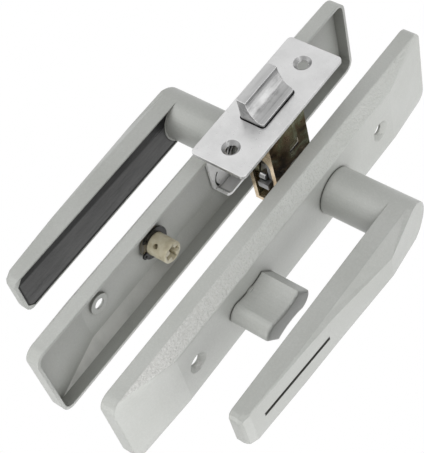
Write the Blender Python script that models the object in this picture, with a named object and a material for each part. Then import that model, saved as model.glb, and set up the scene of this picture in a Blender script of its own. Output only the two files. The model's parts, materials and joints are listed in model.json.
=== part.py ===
# Privacy door handle set: two backplates with levers, a thumb-turn with its release, and a mortice latch.
# Axes: X runs through the door, outwards on the inner (thumb-turn) side. Y runs away from the door's edge.
# Z is up. The origin is the middle of the whole set's box. The lever spindle's axis lies along X.

import math

import bmesh
import bpy
from mathutils import Matrix, Vector

MM = 0.001

# Set-out on the door
DOOR_THICKNESS = 30.2 * MM
BACKSET = 37.3 * MM
TURN_DROP = 56.0 * MM
SEAT_GAP = 0.2 * MM
RUNNING_GAP = 0.3 * MM

# Backplates
PLATE_LENGTH = 198.0 * MM
PLATE_WIDTH = 41.0 * MM
PLATE_DEPTH = 10.5 * MM
PLATE_SIDE_HEIGHT = 6.1 * MM
PLATE_BEVEL_WIDTH = 6.0 * MM
PLATE_END_SLOPE = 29.5 * MM
PLATE_CORNER_RADIUS = 5.0 * MM
PLATE_EDGE_ROUND = 0.45 * MM
PLATE_WALL = 1.4 * MM
SHOULDER_SHARE = 0.6
FRONT_SHARE = 0.4
FIXING_SPACING = 122.0 * MM
FIXING_HOLE_RADIUS = 2.4 * MM
FIXING_SINK_RADIUS = 4.6 * MM
FIXING_SINK_DEPTH = 1.7 * MM
FIXING_BOSS_HEIGHT = 0.8 * MM

# Levers
NECK_RADIUS = 10.0 * MM
SPIGOT_RADIUS = 7.6 * MM
SPIGOT_FLAT = 6.3 * MM
SPIGOT_REACH = 8.0 * MM
SPIGOT_LEAD = 0.5 * MM
LEVER_PROJECTION = 49.3 * MM
LEVER_DROP = 103.8 * MM
LEVER_CREASE_DROP = 19.0 * MM
LEVER_CREASE_DEPTH = 12.7 * MM
LEVER_BEND_DROP = 52.0 * MM
LEVER_BEND_DEPTH = 9.6 * MM
LEVER_TIP_DEPTH = 6.5 * MM
LEVER_HEAD_SLOPE = 0.158
LEVER_SIDE_DEPTH = 7.4 * MM
LEVER_SWING = math.radians(52.0)
BEVEL_CREASE_INSET = 4.4 * MM
BEVEL_GRIP_INSET = 0.5 * MM
BEVEL_END_DROP = 72.0 * MM
TIP_CORNER = 2.8 * MM
TIP_ROUND = 1.9 * MM
INSERT_NECK_GAP = 0.9 * MM
INSERT_END_MARGIN = 1.4 * MM
INSERT_SIDE_MARGIN = 0.6 * MM
INSERT_THICKNESS = 1.7 * MM
INSERT_SINK = 0.3 * MM
SLOT_TOP_DROP = 56.0 * MM
SLOT_LENGTH = 37.0 * MM
SLOT_WIDTH = 1.7 * MM
SLOT_SIDE_GAP = 0.15 * MM
SLOT_SINK = 1.2 * MM

# Lever hub, bush, spring and their plate, inside each backplate
BUSH_WALL = 0.9 * MM
BUSH_FLANGE = 0.6 * MM
BUSH_FLANGE_RADIUS = 11.2 * MM
HUB_DISC_RADIUS = 11.5 * MM
HUB_DISC_THICKNESS = 1.8 * MM
CIRCLIP_THICKNESS = 0.9 * MM
CIRCLIP_BAND = 2.0 * MM
GROOVE_DEPTH = 0.9 * MM
GROOVE_SIDE_GAP = 0.1 * MM
GROOVE_FLOOR_GAP = 0.15 * MM
CLIP_EAR_RADIUS = 1.4 * MM
CLIP_HOLE_RADIUS = 0.6 * MM
SPRING_PLATE_HALF_HEIGHT = 18.3 * MM
SPRING_PLATE_THICKNESS = 1.3 * MM
SPRING_PLATE_CORNER = 4.5 * MM
LUG_HEIGHT = 7.2 * MM
LUG_TOP = 8.0 * MM
LUG_WRAP = math.radians(65.0)
ARC_SLOT_PLACE = (-7.6 * MM, -10.8 * MM)
ARC_SLOT_RADIUS = 5.6 * MM
ARC_SLOT_WIDTH = 0.9 * MM
ARC_SLOT_ENDS = (math.radians(-128.0), math.radians(-38.0))
RETURN_WIRE_RADIUS = 0.6 * MM
RETURN_COIL_RADIUS = 10.6 * MM
RETURN_TURNS = 2.0
RETURN_PITCH = 1.38 * MM
RETURN_LEG_GAP = 1.0 * MM

# Spindles
LEVER_SPINDLE_SIDE = 8.0 * MM
LEVER_SPINDLE_REACH = 27.0 * MM
TURN_SPINDLE_SIDE = 5.0 * MM
SPINDLE_CLEARANCE = 0.2 * MM
SPINDLE_END_GAP = 1.0 * MM

# Thumb-turn and its locking slide
TURN_HALF_LENGTH = 13.2 * MM
TURN_WAIST = 4.7 * MM
TURN_END_HALF_WIDTH = 6.0 * MM
TURN_END_ROUND = 5.2 * MM
TURN_PROJECTION = 17.5 * MM
TURN_EDGE = 1.2 * MM
TURN_SPIGOT_RADIUS = 5.0 * MM
TURN_CLIP_BAND = 1.8 * MM
TURN_CLIP_THICKNESS = 0.8 * MM
TURN_GROOVE_DEPTH = 0.7 * MM
TURN_SOCKET_END = 5.0 * MM
TURN_SPINDLE_START = 1.0 * MM
CAM_RADIUS = 7.0 * MM
CAM_OFFSET = 2.5 * MM
SLIDE_THICKNESS = 1.1 * MM
SLIDE_WIDTH = 10.0 * MM
SLIDE_TIP_HALF_WIDTH = 1.75 * MM
SLIDE_TIP_LENGTH = 5.0 * MM
KEEPER_THICKNESS = 0.8 * MM
SLIDE_FRAME = 2.4 * MM
LOCK_RING_RADIUS = 9.6 * MM
LOCK_NOTCH_HALF_ANGLE = math.radians(13.0)
LOCK_LUG_ANGLE = math.radians(19.0)
GUIDE_RIB = 1.4 * MM
GUIDE_LENGTH = 8.0 * MM
GUIDE_DROP = 31.0 * MM

# Emergency release on the outer side
RELEASE_HEAD_RADIUS = 7.5 * MM
RELEASE_HEAD_THICKNESS = 1.6 * MM
COIN_SLOT_WIDTH = 1.6 * MM
COIN_SLOT_DEPTH = 0.9 * MM
COIN_SLOT_HALF_LENGTH = 5.2 * MM
RELEASE_TAIL_SIDE = 3.4 * MM
RELEASE_TAIL_REACH = 3.5 * MM
SOCKET_RADIUS = 4.85 * MM
SOCKET_OVERHANG = 2.6 * MM
SOCKET_EDGE = 0.4 * MM
SOCKET_FLANGE_RADIUS = 6.4 * MM
SOCKET_FLANGE = 1.2 * MM
SOCKET_CROSS_DEPTH = 4.0 * MM
SOCKET_CROSS_HALF_LENGTH = 3.5 * MM
SOCKET_CROSS_HALF_WIDTH = 1.3 * MM
SOCKET_PIN_HOLE = 1.15 * MM
SOCKET_PIN_PLACE = 3.0 * MM
SOCKET_PIN_LEAN = math.radians(35.0)
RELEASE_CLIP_BAND = 2.2 * MM
RELEASE_CLIP_THICKNESS = 0.8 * MM
RELEASE_CLIP_FACING = math.radians(-70.0)

# Mortice latch
FOREND_WIDTH = 25.0 * MM
FOREND_HEIGHT = 65.0 * MM
FOREND_THICKNESS = 1.6 * MM
FOREND_CORNER = 1.8 * MM
FOREND_HOLE_SPACING = 46.6 * MM
FOREND_HOLE_RADIUS = 2.3 * MM
FOREND_SINK_RADIUS = 3.7 * MM
FOREND_SINK_DEPTH = 1.3 * MM
BOLT_HALF_WIDTH = 5.6 * MM
BOLT_HALF_HEIGHT = 10.2 * MM
BOLT_PROJECTION = 10.6 * MM
BOLT_LAND = 4.6 * MM
BOLT_BODY = 12.0 * MM
BOLT_FOOT = 1.5 * MM
BOLT_EDGE = 0.5 * MM
BOLT_CORNER = 1.2 * MM
BOLT_OPENING_GAP = 0.35 * MM
BOLT_SLOT_FRONT = 4.0 * MM
BOLT_SPRING_SEAT = 6.0 * MM
PIN_RADIUS = 1.1 * MM
PIN_GAP = 0.15 * MM
PIN_Z = 6.0 * MM
PIN_Y = 8.5 * MM
CASE_SIDE_WALL = 0.9 * MM
CASE_EDGE_WALL = 1.0 * MM
CASE_REACH = 13.0 * MM
CASE_WINDOW_START = 20.0 * MM
CASE_WINDOW_MARGIN = 1.0 * MM
CASE_FLANGE = 5.5 * MM
CASE_FLANGE_WIDTH = 8.8 * MM
COVER_GAP = 0.1 * MM
SPRING_STOP_REACH = 1.2 * MM
SPRING_STOP_THICKNESS = 1.0 * MM
SPRING_STOP_HALF_HEIGHT = 4.0 * MM
SPRING_STOP_GAP = 1.8 * MM
RIVET_RADIUS = 1.2 * MM
RIVET_GAP = 0.15 * MM
RIVET_SKIN = 0.6 * MM
RIVET_HEAD_RADIUS = 2.1 * MM
RIVET_HEAD = 0.75 * MM
RIVET_SIDES = 12
FOLLOWER_BARREL = 6.4 * MM
FOLLOWER_JOURNAL = 6.0 * MM
FOLLOWER_ARM = 11.8 * MM
FOLLOWER_ARM_WIDTH = 2.8 * MM
FOLLOWER_TIP_RADIUS = 1.5 * MM
TAIL_THICKNESS = 1.5 * MM
TAIL_OFFSET = 1.9 * MM
TAIL_EAR = 3.0 * MM
TAIL_SHOULDER = 1.0 * MM
BOLT_SPRING_RADIUS = 2.2 * MM
BOLT_SPRING_WIRE = 0.3 * MM
BOLT_SPRING_TURNS = 8.0
BOLT_SPRING_OFFSET = 2.6 * MM

# Sizes that follow from those above
DOOR_FACE = DOOR_THICKNESS / 2
PLATE_CENTRE_Z = -TURN_DROP / 2
SPINDLE_Y = (BACKSET + BOLT_PROJECTION - PLATE_WIDTH / 2) / 2
SPINDLE_Z = -PLATE_CENTRE_Z
LEVER_INNER = LEVER_PROJECTION - LEVER_CREASE_DEPTH
WALL_IN = PLATE_DEPTH - PLATE_WALL
BORE_RADIUS = SPIGOT_RADIUS + RUNNING_GAP
BUSH_RADIUS = BORE_RADIUS + BUSH_WALL
BUSH_IN = WALL_IN - SEAT_GAP - BUSH_FLANGE
HUB_TOP = BUSH_IN - RUNNING_GAP
HUB_BOTTOM = HUB_TOP - HUB_DISC_THICKNESS
CLIP_TOP = HUB_BOTTOM - RUNNING_GAP
CLIP_BOTTOM = CLIP_TOP - CIRCLIP_THICKNESS
SPRING_PLATE_TOP = WALL_IN - SEAT_GAP
SPRING_PLATE_BOTTOM = SPRING_PLATE_TOP - SPRING_PLATE_THICKNESS
SPRING_PLATE_HOLE = HUB_DISC_RADIUS + RUNNING_GAP
SPRING_PLATE_HALF_WIDTH = PLATE_WIDTH / 2 - PLATE_BEVEL_WIDTH - FRONT_SHARE * PLATE_WALL - SEAT_GAP
SPIGOT_END = PLATE_DEPTH - SPIGOT_REACH
SLIDE_TOP = SPRING_PLATE_BOTTOM - RUNNING_GAP
SLIDE_BOTTOM = SLIDE_TOP - SLIDE_THICKNESS
SLIDE_TRAVEL = 2 * CAM_OFFSET * math.sin(math.radians(45.0))
FOLLOWER_LEAN = LEVER_SWING / 2
BOLT_TRAVEL = 2 * FOLLOWER_ARM * math.sin(FOLLOWER_LEAN)
CASE_IN_X = BOLT_HALF_WIDTH + RUNNING_GAP
CASE_OUT_X = CASE_IN_X + CASE_SIDE_WALL
CASE_IN_Z = BOLT_HALF_HEIGHT + RUNNING_GAP
CASE_OUT_Z = CASE_IN_Z + CASE_EDGE_WALL
CASE_END = BACKSET + CASE_REACH
SPRING_STOP_FRONT = BACKSET - FOLLOWER_BARREL - SPRING_STOP_GAP - SPRING_STOP_THICKNESS

ROUND = 32
NECK_SIDES = 48
SMALL_ROUND = 20
CUT_PAST = 1.0 * MM
LAP = 1.0 * MM


# Scene and materials

def clear_scene():
    for thing in list(bpy.data.objects):
        bpy.data.objects.remove(thing, do_unlink=True)


def make_material(name, colour, roughness, metallic):
    material = bpy.data.materials.new(name)
    material.use_nodes = True
    shader = material.node_tree.nodes["Principled BSDF"]
    shader.inputs["Base Color"].default_value = (*colour, 1.0)
    shader.inputs["Roughness"].default_value = roughness
    shader.inputs["Metallic"].default_value = metallic
    material.diffuse_color = (*colour, 1.0)
    return material


def make_palette():
    looks = {
        "grey_paint": ((0.46, 0.455, 0.42), 0.38, 0.35),
        "dark_insert": ((0.09, 0.09, 0.09), 0.55, 0.0),
        "bright_zinc": ((0.72, 0.72, 0.71), 0.32, 0.9),
        "bolt_zinc": ((0.42, 0.42, 0.41), 0.4, 0.85),
        "gold_steel": ((0.55, 0.42, 0.22), 0.3, 0.95),
        "plain_steel": ((0.5, 0.5, 0.5), 0.35, 0.95),
        "cream_socket": ((0.62, 0.57, 0.42), 0.45, 0.3),
        "black_steel": ((0.03, 0.03, 0.03), 0.4, 0.6),
        "nylon": ((0.75, 0.74, 0.7), 0.5, 0.0),
    }
    return {name: make_material(name, *look) for name, look in looks.items()}


# Mesh builders. A raw mesh becomes an object, and cuts and joins are made on it at once.

def make_object(name, mesh_builder, parent=None, location=(0, 0, 0)):
    mesh = bpy.data.meshes.new(name)
    mesh_builder.to_mesh(mesh)
    mesh_builder.free()
    thing = bpy.data.objects.new(name, mesh)
    bpy.context.scene.collection.objects.link(thing)
    thing.parent = parent
    thing.location = location
    return thing


def close_up(builder):
    bmesh.ops.recalc_face_normals(builder, faces=builder.faces)
    return builder


def prism(outline, low, high, axis="X"):
    """A solid with the outline across an axis: (y, z) for X, (x, z) for Y and (x, y) for Z."""
    places = {
        "X": lambda a, b, t: (t, a, b),
        "Y": lambda a, b, t: (a, t, b),
        "Z": lambda a, b, t: (a, b, t),
    }
    place = places[axis]
    builder = bmesh.new()
    rings = [[builder.verts.new(place(a, b, t)) for a, b in outline] for t in (low, high)]
    bridge(builder, rings)
    return close_up(builder)


def bridge(builder, rings):
    count = len(rings[0])
    for near, far in zip(rings, rings[1:]):
        for i in range(count):
            j = (i + 1) % count
            builder.faces.new((near[i], near[j], far[j], far[i]))
    builder.faces.new(rings[0])
    builder.faces.new(rings[-1])


def loft(sections):
    builder = bmesh.new()
    rings = [[builder.verts.new(point) for point in section] for section in sections]
    bridge(builder, rings)
    return close_up(builder)


def block(x_range, y_range, z_range):
    outline = [(y_range[i], z_range[j]) for i, j in ((0, 0), (1, 0), (1, 1), (0, 1))]
    return prism(outline, *x_range)


def arc(radius, start, end, steps, centre=(0.0, 0.0)):
    return [
        (
            centre[0] + radius * math.cos(start + (end - start) * i / steps),
            centre[1] + radius * math.sin(start + (end - start) * i / steps),
        )
        for i in range(steps + 1)
    ]


def circle(radius, sides=ROUND, centre=(0.0, 0.0)):
    return arc(radius, 0, 2 * math.pi, sides, centre)[:-1]


def rounded_box(half_a, half_b, radius, steps=6):
    corners = ((1, 1), (-1, 1), (-1, -1), (1, -1))
    points = []
    for quarter, (a, b) in enumerate(corners):
        centre = (a * (half_a - radius), b * (half_b - radius))
        start = quarter * math.pi / 2
        points += arc(radius, start, start + math.pi / 2, steps, centre)
    return points


def double_d(radius, flat, sides=ROUND):
    return [(y, max(-flat, min(flat, z))) for y, z in circle(radius, sides)]


def revolve(profile, sides=ROUND):
    """A solid turned about X from (x, radius) points that start and end off the axis."""
    sections = []
    for x, radius in profile:
        sections.append([(x, y, z) for y, z in circle(radius, sides)])
    return loft(sections)


def ring(inner, outer, low, high, sides=ROUND, opening=0.0, facing=0.0):
    """A flat ring about X. An opening leaves a gap of that angle, centred on the facing angle."""
    if not opening:
        builder = prism(circle(outer, sides), low, high)
        bore = prism(circle(inner, sides), low - CUT_PAST, high + CUT_PAST)
        return cut_builder(builder, [bore])
    start = facing + opening / 2
    end = facing + 2 * math.pi - opening / 2
    outline = arc(outer, start, end, sides) + arc(inner, end, start, sides)
    return prism(outline, low, high)


def cut_builder(builder, cutters, operation="DIFFERENCE"):
    thing = make_object("raw_solid", builder)
    for cutter in cutters:
        combine(thing, cutter, operation)
    result = bmesh.new()
    result.from_mesh(thing.data)
    bpy.data.objects.remove(thing, do_unlink=True)
    return result


def combine(thing, tool_builder, operation="DIFFERENCE"):
    tool = make_object("tool_solid", tool_builder)
    tool.matrix_world = thing.matrix_world.copy()
    change = thing.modifiers.new("change", "BOOLEAN")
    change.operation = operation
    change.solver = "EXACT"
    change.object = tool
    bpy.context.view_layer.update()
    depsgraph = bpy.context.evaluated_depsgraph_get()
    mesh = bpy.data.meshes.new_from_object(thing.evaluated_get(depsgraph))
    thing.modifiers.remove(change)
    old = thing.data
    thing.data = mesh
    bpy.data.meshes.remove(old)
    bpy.data.objects.remove(tool, do_unlink=True)


def finish(thing, material, smooth_angle=32.0):
    thing.data.name = thing.name
    thing.data.materials.clear()
    thing.data.materials.append(material)
    thing.data.polygons.foreach_set("use_smooth", [True] * len(thing.data.polygons))
    thing.data.set_sharp_from_angle(angle=math.radians(smooth_angle))
    return thing


def make_piece(name, builder, material, parent, location=(0, 0, 0)):
    thing = make_object(name, builder, parent, location)
    return finish(thing, material)


def union(first, others):
    return cut_builder(first, others, "UNION")


def joined(builders):
    """Several solids that lie apart, as one mesh for one cut or join."""
    together = bmesh.new()
    for builder in builders:
        copies = {vert: together.verts.new(vert.co) for vert in builder.verts}
        for face in builder.faces:
            together.faces.new([copies[vert] for vert in face.verts])
        builder.free()
    return close_up(together)


def turned_about_x(builder, angle):
    bmesh.ops.rotate(builder, cent=(0, 0, 0), matrix=Matrix.Rotation(angle, 3, "X"), verts=builder.verts)
    return builder


def make_empty(name, location, turned=False):
    empty = bpy.data.objects.new(name, None)
    bpy.context.scene.collection.objects.link(empty)
    empty.location = location
    if turned:
        empty.rotation_euler = (0, 0, math.pi)
    return empty


# Backplates

def plate_form(inset, base):
    """The backplate's outer form, or its hollow when inset by the wall."""
    half_y = PLATE_WIDTH / 2 - inset
    half_z = PLATE_LENGTH / 2 - inset
    radius = PLATE_CORNER_RADIUS - inset
    shoulder = PLATE_SIDE_HEIGHT - SHOULDER_SHARE * inset
    builder = bmesh.new()
    for level in (base, shoulder):
        for y, z in rounded_box(half_y, half_z, radius, 8):
            builder.verts.new((level, y, z))
    front_y = PLATE_WIDTH / 2 - PLATE_BEVEL_WIDTH - FRONT_SHARE * inset
    front_z = PLATE_LENGTH / 2 - PLATE_END_SLOPE
    for y in (-front_y, front_y):
        for z in (-front_z, front_z):
            builder.verts.new((PLATE_DEPTH - inset, y, z))
    bmesh.ops.convex_hull(builder, input=builder.verts)
    bmesh.ops.dissolve_limit(
        builder, angle_limit=math.radians(0.3), verts=builder.verts, edges=builder.edges
    )
    return close_up(builder)


def round_plate_edges(builder):
    edges = []
    for edge in builder.edges:
        above_rim = all(vert.co.x > PLATE_EDGE_ROUND for vert in edge.verts)
        if above_rim and len(edge.link_faces) == 2 and edge.calc_face_angle() > math.radians(20):
            edges.append(edge)
    bmesh.ops.bevel(
        builder, geom=edges, offset=PLATE_EDGE_ROUND, segments=2, affect="EDGES", profile=0.5
    )
    return builder


def fixing_places():
    return [(0.0, side * FIXING_SPACING / 2) for side in (-1, 1)]


def screw_boss(y, z):
    bottom = PLATE_DEPTH - FIXING_SINK_DEPTH - FIXING_BOSS_HEIGHT
    return prism(circle(FIXING_SINK_RADIUS, ROUND, (y, z)), bottom, WALL_IN + 0.5 * PLATE_WALL)


def sink_levels(hole, sink, depth, far):
    """Levels and radii of a screw's hole: its sink opens at level 0, and it runs down to the far level."""
    slope = (sink - hole) / depth
    return (far, hole), (-depth, hole), (CUT_PAST, sink + slope * CUT_PAST)


def screw_cut(y, z):
    far = -FIXING_SINK_DEPTH - FIXING_BOSS_HEIGHT - CUT_PAST
    sections = []
    for level, radius in sink_levels(FIXING_HOLE_RADIUS, FIXING_SINK_RADIUS, FIXING_SINK_DEPTH, far):
        sections.append([(PLATE_DEPTH + level, a, b) for a, b in circle(radius, ROUND, (y, z))])
    return loft(sections)


def backplate_builder(lands, holes):
    shell = cut_builder(round_plate_edges(plate_form(0.0, 0.0)), [plate_form(PLATE_WALL, -CUT_PAST)])
    bosses = [screw_boss(y, z) for y, z in fixing_places()]
    shell = union(shell, [joined(bosses + lands)])
    sinks = [screw_cut(y, z) for y, z in fixing_places()]
    return cut_builder(shell, [joined(sinks + holes)])


def wall_hole(radius, z):
    return prism(circle(radius, ROUND, (0.0, z)), WALL_IN - CUT_PAST, PLATE_DEPTH + CUT_PAST)


def guide_rib(side):
    inner = SLIDE_WIDTH / 2 + RUNNING_GAP
    y_range = sorted((side * inner, side * (inner + GUIDE_RIB)))
    low = -GUIDE_DROP - GUIDE_LENGTH / 2 - PLATE_CENTRE_Z
    x_range = (SLIDE_BOTTOM - RUNNING_GAP, WALL_IN + 0.5 * PLATE_WALL)
    return block(x_range, y_range, (low, low + GUIDE_LENGTH))


def make_backplate(name, side, palette, release_side):
    ribs = [] if release_side else [guide_rib(-1), guide_rib(1)]
    lower_radius = (SOCKET_RADIUS if release_side else TURN_SPIGOT_RADIUS) + RUNNING_GAP
    holes = [
        wall_hole(BUSH_RADIUS + SEAT_GAP, -PLATE_CENTRE_Z),
        wall_hole(lower_radius, -TURN_DROP - PLATE_CENTRE_Z),
    ]
    builder = backplate_builder(ribs, holes)
    return make_piece(name, builder, palette["grey_paint"], side, (0, 0, PLATE_CENTRE_Z))


# Levers

def grip_face(drop):
    """Distance of the grip's outer face from the door, at a drop below the crease."""
    if drop < LEVER_BEND_DROP:
        share = (drop - LEVER_CREASE_DROP) / (LEVER_BEND_DROP - LEVER_CREASE_DROP)
        return LEVER_INNER + LEVER_CREASE_DEPTH + (LEVER_BEND_DEPTH - LEVER_CREASE_DEPTH) * share
    share = (drop - LEVER_BEND_DROP) / (LEVER_DROP - LEVER_BEND_DROP)
    return LEVER_INNER + LEVER_BEND_DEPTH + (LEVER_TIP_DEPTH - LEVER_BEND_DEPTH) * share


def grip_levels():
    """Drop, outer face, bevel start, bevel inset, half width and inner face of the grip's sections."""
    fade = BEVEL_CREASE_INSET - BEVEL_GRIP_INSET
    levels = []
    for drop in (LEVER_CREASE_DROP, LEVER_BEND_DROP, BEVEL_END_DROP):
        share = (drop - LEVER_CREASE_DROP) / (BEVEL_END_DROP - LEVER_CREASE_DROP)
        inset = BEVEL_GRIP_INSET + fade * (1 - share) ** 1.5
        start = LEVER_INNER + LEVER_SIDE_DEPTH
        levels.append((drop, grip_face(drop), start, inset, NECK_RADIUS, LEVER_INNER))
    below = LEVER_DROP - TIP_CORNER
    face = grip_face(below - TIP_ROUND)
    start = face - BEVEL_GRIP_INSET
    levels.append((below - TIP_ROUND, face, start, BEVEL_GRIP_INSET, NECK_RADIUS, LEVER_INNER))
    for turn in (0.0, 0.35, 0.7, 1.0):
        drop = below + TIP_CORNER * math.sin(turn * math.pi / 2)
        cut = TIP_CORNER * (1 - math.cos(turn * math.pi / 2))
        outer = grip_face(drop) - 0.25 * TIP_ROUND - 0.7 * cut
        start = outer - TIP_ROUND + 0.3 * cut
        levels.append((drop, outer, start, 2 * BEVEL_GRIP_INSET, NECK_RADIUS - cut, LEVER_INNER + 0.3 * cut))
    return levels


def lever_form():
    """The round neck, its head cut by a sloping plane, and the flat-sided grip, as one skin."""
    builder = bmesh.new()
    start = PLATE_DEPTH + RUNNING_GAP
    head_face = LEVER_INNER + LEVER_CREASE_DEPTH - LEVER_HEAD_SLOPE * LEVER_CREASE_DROP
    rim = circle(NECK_RADIUS, NECK_SIDES)
    half = NECK_SIDES // 2
    foot = [builder.verts.new((start, y, z)) for y, z in rim]
    throat = [builder.verts.new((LEVER_INNER, y, z)) for y, z in rim]
    for i in range(NECK_SIDES):
        j = (i + 1) % NECK_SIDES
        builder.faces.new((foot[i], foot[j], throat[j], throat[i]))
    builder.faces.new(foot)
    bevel_start = LEVER_INNER + LEVER_SIDE_DEPTH
    crown = []
    for i, (y, z) in enumerate(rim[:half + 1]):
        x = bevel_start if i in (0, half) else head_face - LEVER_HEAD_SLOPE * z
        crown.append(builder.verts.new((x, y, z)))
    for i in range(half):
        builder.faces.new((throat[i], throat[i + 1], crown[i + 1], crown[i]))
    rings = []
    for drop, outer, bevel, inset, half_width, inner in grip_levels():
        near_side = [(inner, half_width), (bevel, half_width), (outer, half_width - inset)]
        far_side = [(x, -y) for x, y in reversed(near_side)]
        rings.append([builder.verts.new((x, y, -drop)) for x, y in near_side + far_side])
    first = rings[0]
    builder.faces.new(crown[1:half] + [first[3], first[2]])
    for way, side in ((0, (0, 1, 2)), (half, (5, 4, 3))):
        near, bevel, ridge = (first[k] for k in side)
        next_along = crown[1] if way == 0 else crown[half - 1]
        builder.faces.new((throat[way], crown[way], bevel, near))
        builder.faces.new((crown[way], next_along, ridge))
        builder.faces.new((crown[way], ridge, bevel))
    for near, far in zip(rings, rings[1:]):
        for i in range(5):
            builder.faces.new((near[i], near[i + 1], far[i + 1], far[i]))
    builder.faces.new(rings[-1])
    builder.faces.new(throat[half:] + [throat[0], first[0], first[5]])
    for near, far in zip(rings, rings[1:]):
        builder.faces.new((near[5], near[0], far[0], far[5]))
    return close_up(builder)


def insert_outline(clearance):
    """Outline (y, z) of the grip's inner strip: hollow round the neck, with cut corners at the tip."""
    half = NECK_RADIUS - INSERT_SIDE_MARGIN - clearance
    radius = NECK_RADIUS + INSERT_NECK_GAP + clearance
    end = LEVER_DROP - INSERT_END_MARGIN - clearance
    corner = TIP_CORNER - 0.5 * clearance
    turn = math.acos(half / radius)
    top = arc(radius, -turn, turn - math.pi, 8)
    return top + [(-half, corner - end), (corner - half, -end), (half - corner, -end), (half, corner - end)]


def make_lever(name, side, palette):
    round_part = revolve(
        [(SPIGOT_END, SPIGOT_RADIUS - SPIGOT_LEAD), (SPIGOT_END + SPIGOT_LEAD, SPIGOT_RADIUS),
         (PLATE_DEPTH + 2 * LAP, SPIGOT_RADIUS)]
    )
    flat_end = HUB_TOP + SEAT_GAP
    beyond = 2 * NECK_RADIUS
    flats = [
        block((SPIGOT_END - CUT_PAST, flat_end), (-beyond, beyond), (SPIGOT_FLAT, beyond)),
        block((SPIGOT_END - CUT_PAST, flat_end), (-beyond, beyond), (-beyond, -SPIGOT_FLAT)),
    ]
    groove = ring(SPIGOT_RADIUS - GROOVE_DEPTH, SPIGOT_RADIUS + CUT_PAST,
                  CLIP_BOTTOM - GROOVE_SIDE_GAP, CLIP_TOP + GROOVE_SIDE_GAP)
    spigot = cut_builder(round_part, flats + [groove])
    body = union(lever_form(), [spigot])
    half = LEVER_SPINDLE_SIDE / 2 + SPINDLE_CLEARANCE
    socket = block((SPIGOT_END - CUT_PAST, SPIGOT_END + LEVER_SPINDLE_REACH), (-half, half), (-half, half))
    pocket = prism(insert_outline(0.0), LEVER_INNER - CUT_PAST, LEVER_INNER + INSERT_THICKNESS)
    slot = block((LEVER_INNER - CUT_PAST, LEVER_PROJECTION + CUT_PAST), (-SLOT_WIDTH / 2, SLOT_WIDTH / 2),
                 (-SLOT_TOP_DROP - SLOT_LENGTH, -SLOT_TOP_DROP))
    body = cut_builder(body, [socket, pocket, slot])
    piece = make_piece(name, body, palette["grey_paint"], side)
    return finish(piece, palette["grey_paint"], 12.0)


def make_insert(name, side, palette):
    outline = insert_outline(SEAT_GAP)
    strip = prism(outline, LEVER_INNER + INSERT_SINK, LEVER_INNER + INSERT_THICKNESS - SEAT_GAP)
    top_drop = SLOT_TOP_DROP + SEAT_GAP
    end_drop = SLOT_TOP_DROP + SLOT_LENGTH - SEAT_GAP
    rib_outline = [(LEVER_INNER + INSERT_THICKNESS / 2, -drop) for drop in (top_drop, end_drop)]
    rib_outline += [(grip_face(drop) - SLOT_SINK, -drop) for drop in (end_drop, top_drop)]
    half_rib = SLOT_WIDTH / 2 - SLOT_SIDE_GAP
    rib = prism(rib_outline, -half_rib, half_rib, "Y")
    return make_piece(name, union(strip, [rib]), palette["dark_insert"], side)


# Parts round each lever's spigot

def make_bush(name, side, palette):
    sleeve = ring(BORE_RADIUS, BUSH_RADIUS, BUSH_IN, PLATE_DEPTH - GROOVE_SIDE_GAP)
    flange = ring(BORE_RADIUS, BUSH_FLANGE_RADIUS, BUSH_IN, BUSH_IN + BUSH_FLANGE)
    return make_piece(name, union(sleeve, [flange]), palette["nylon"], side)


def spigot_bore(low, high):
    outline = double_d(SPIGOT_RADIUS + SPINDLE_CLEARANCE, SPIGOT_FLAT + SPINDLE_CLEARANCE)
    return prism(outline, low - CUT_PAST, high + CUT_PAST)


def make_hub_disc(name, side, palette):
    disc = prism(circle(HUB_DISC_RADIUS), HUB_BOTTOM, HUB_TOP)
    disc = cut_builder(disc, [spigot_bore(HUB_BOTTOM, HUB_TOP)])
    return make_piece(name, disc, palette["bright_zinc"], side)


def make_lock_disc(name, side, palette):
    disc = prism(circle(LOCK_RING_RADIUS), HUB_BOTTOM, HUB_TOP)
    lugs = []
    for way in (-1, 1):
        start = -math.pi / 2 + way * LOCK_NOTCH_HALF_ANGLE
        end = start + way * LOCK_LUG_ANGLE
        inner = arc(LOCK_RING_RADIUS - LAP, end, start, 4)
        lugs.append(prism(arc(HUB_DISC_RADIUS, start, end, 4) + inner, HUB_BOTTOM, HUB_TOP))
    disc = union(disc, lugs)
    disc = cut_builder(disc, [spigot_bore(HUB_BOTTOM, HUB_TOP)])
    return make_piece(name, disc, palette["plain_steel"], side)


def make_clip(name, side, palette, radius, band, levels, facing=math.pi / 2, place=(0, 0, 0)):
    """A retaining ring about X whose two ends carry ears with a plier hole each."""
    low, high = levels
    opening = math.radians(50)
    reach = radius + CLIP_EAR_RADIUS
    lean = opening / 2 + math.asin(CLIP_EAR_RADIUS / reach)
    ears = []
    holes = []
    for way in (-1, 1):
        angle = facing + way * lean
        centre = (reach * math.cos(angle), reach * math.sin(angle))
        ears.append(prism(circle(CLIP_EAR_RADIUS, RIVET_SIDES, centre), low, high))
        holes.append(prism(circle(CLIP_HOLE_RADIUS, 8, centre), low - CUT_PAST, high + CUT_PAST))
    clip = union(ring(radius, radius + band, low, high, SMALL_ROUND, opening, facing), ears)
    return make_piece(name, cut_builder(clip, holes), palette["black_steel"], side, place)


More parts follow.
